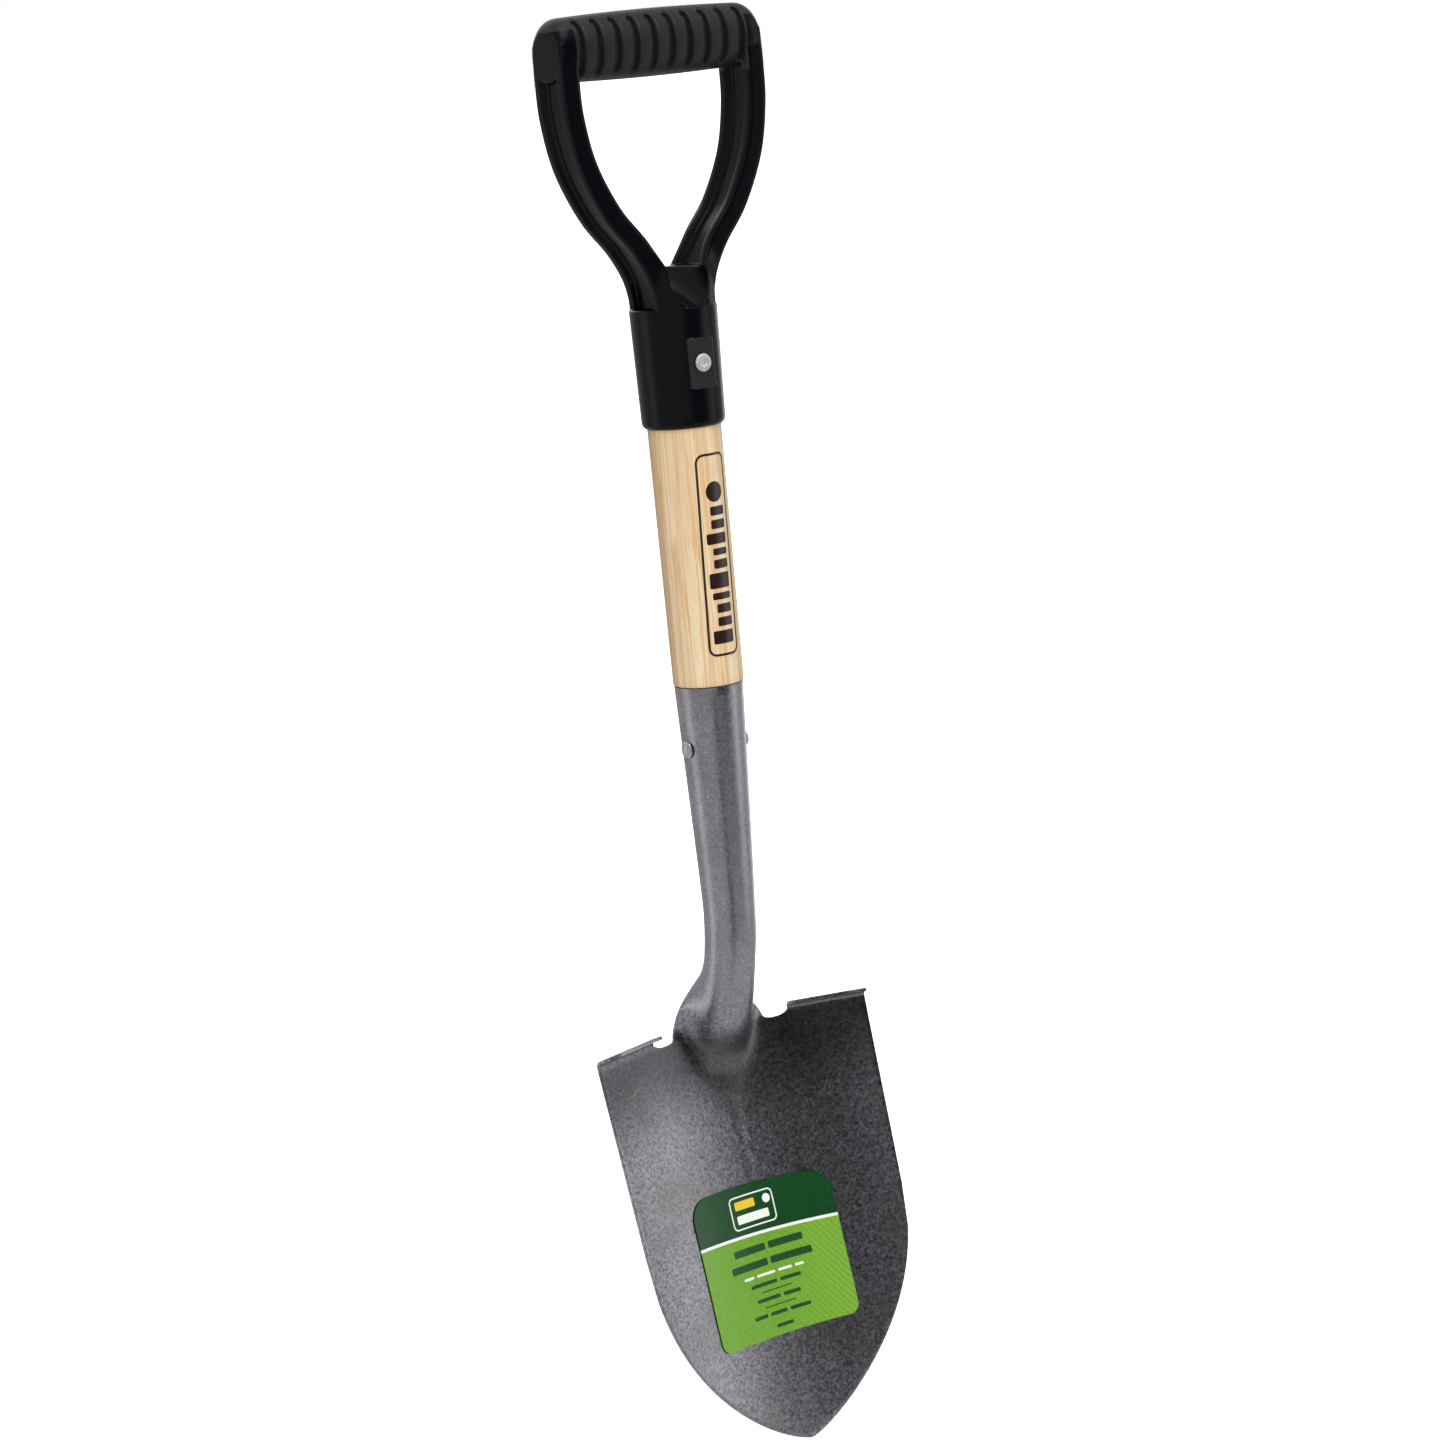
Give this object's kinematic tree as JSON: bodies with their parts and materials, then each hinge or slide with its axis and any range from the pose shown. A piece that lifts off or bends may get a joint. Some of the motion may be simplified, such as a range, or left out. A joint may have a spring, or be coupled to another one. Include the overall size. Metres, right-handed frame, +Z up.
{
  "type": "round point shovel",
  "caption": "Short D-grip garden shovel: pressed steel round point blade with turned foot steps, open-back socket, ash handle and grooved plastic hand grip.",
  "frame": {"origin": "point under the middle of the hand bar, where the shovel hangs on a hook; the blade's tip is 0.6561 m below it", "axes": "+Z up along the handle's axis towards the grip; -Y to the front, the side that the blade's dish faces; +X to the right seen from the front"},
  "size_m": [0.1584, 0.0529, 0.6874],
  "materials": {
    "blade_steel": "hot rolled steel under clear lacquer, satin, fine tumbling scratches",
    "ash_wood": "turned ash, clear lacquer",
    "grip_plastic": "moulded black polypropylene, glossy legs, fine matte texture on the hand bar",
    "rivet_zinc": "bright zinc plate",
    "rivet_steel": "plain steel, hammered head",
    "label_film": "printed label under gloss film",
    "print_ink": "thin dark brown ink under lacquer"
  },
  "bodies": {
    "root": {"blade": "blade_steel", "handle": "ash_wood", "d_grip": "grip_plastic", "grip_rivet": "rivet_zinc", "grip_rivet_washer": "rivet_zinc", "socket_rivet": "rivet_steel", "blade_label": "label_film", "handle_print": "print_ink"}
  },
  "joints": []
}
